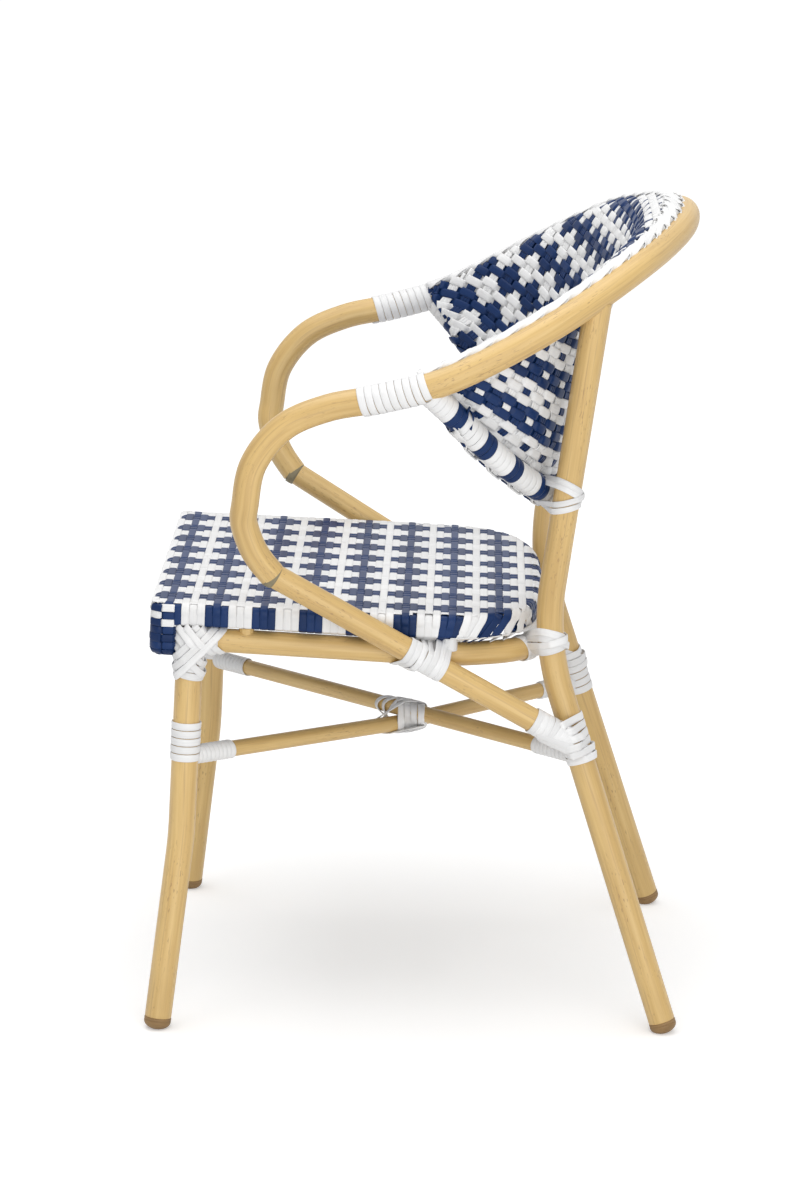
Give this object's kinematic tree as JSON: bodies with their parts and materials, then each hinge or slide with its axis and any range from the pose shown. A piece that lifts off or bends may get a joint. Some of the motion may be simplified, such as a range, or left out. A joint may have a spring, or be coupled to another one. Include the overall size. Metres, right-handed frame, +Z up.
{
  "type": "rattan-look bistro armchair",
  "caption": "Bistro armchair with a lashed bamboo-look tube frame, sweeping arm hoop, crossed stretchers and a blue and white woven seat and back.",
  "frame": {"origin": "on the floor under the middle of the chair: the bottom centre of its bounding box", "axes": "+Z up, -Y the way the chair faces, +X towards the sitter's left"},
  "size_m": [0.5862, 0.5668, 0.8536],
  "materials": {
    "bamboo": "bamboo-look painted aluminium tube, satin",
    "weave": "woven flat plastic strand, navy blue and white",
    "strand": "white flat plastic strand",
    "glide": "moulded brown plastic",
    "plug": "moulded black plastic",
    "bare_tube": "mill-finish tube"
  },
  "bodies": {
    "root": {"back_hoop": "bamboo", "front_leg_left": "bamboo", "front_leg_right": "bamboo", "rear_leg_left": "bamboo", "rear_leg_right": "bamboo", "arm_brace_left": "bamboo", "arm_brace_right": "bamboo", "seat_rail": "bamboo", "low_stretcher": "bamboo", "high_stretcher": "bamboo", "front_glide_left": "glide", "front_glide_right": "glide", "rear_glide_left": "glide", "rear_glide_right": "glide", "leg_plug_left": "plug", "leg_plug_right": "plug", "lower_back_rail": "weave", "back_weave": "weave", "seat_cover": "weave", "back_border": "strand", "seat_frame": "bare_tube", "seat_front_tube": "bare_tube", "front_roll_bar": "bare_tube", "seat_cross_bar_1": "bare_tube", "seat_cross_bar_2": "bare_tube", "seat_spacer_1_left": "plug", "seat_spacer_1_right": "plug", "seat_spacer_2_left": "plug", "seat_spacer_2_right": "plug", "arm_wrap_left": "strand", "arm_wrap_right": "strand", "leg_band_left": "strand", "leg_band_right": "strand", "corner_leg_wrap_left": "strand", "corner_leg_wrap_right": "strand", "corner_rail_wrap_left": "strand", "corner_rail_wrap_right": "strand", "low_stretcher_wrap_front": "strand", "low_stretcher_wrap_rear": "strand", "high_stretcher_wrap_front": "strand", "high_stretcher_wrap_rear": "strand"}
  },
  "joints": []
}
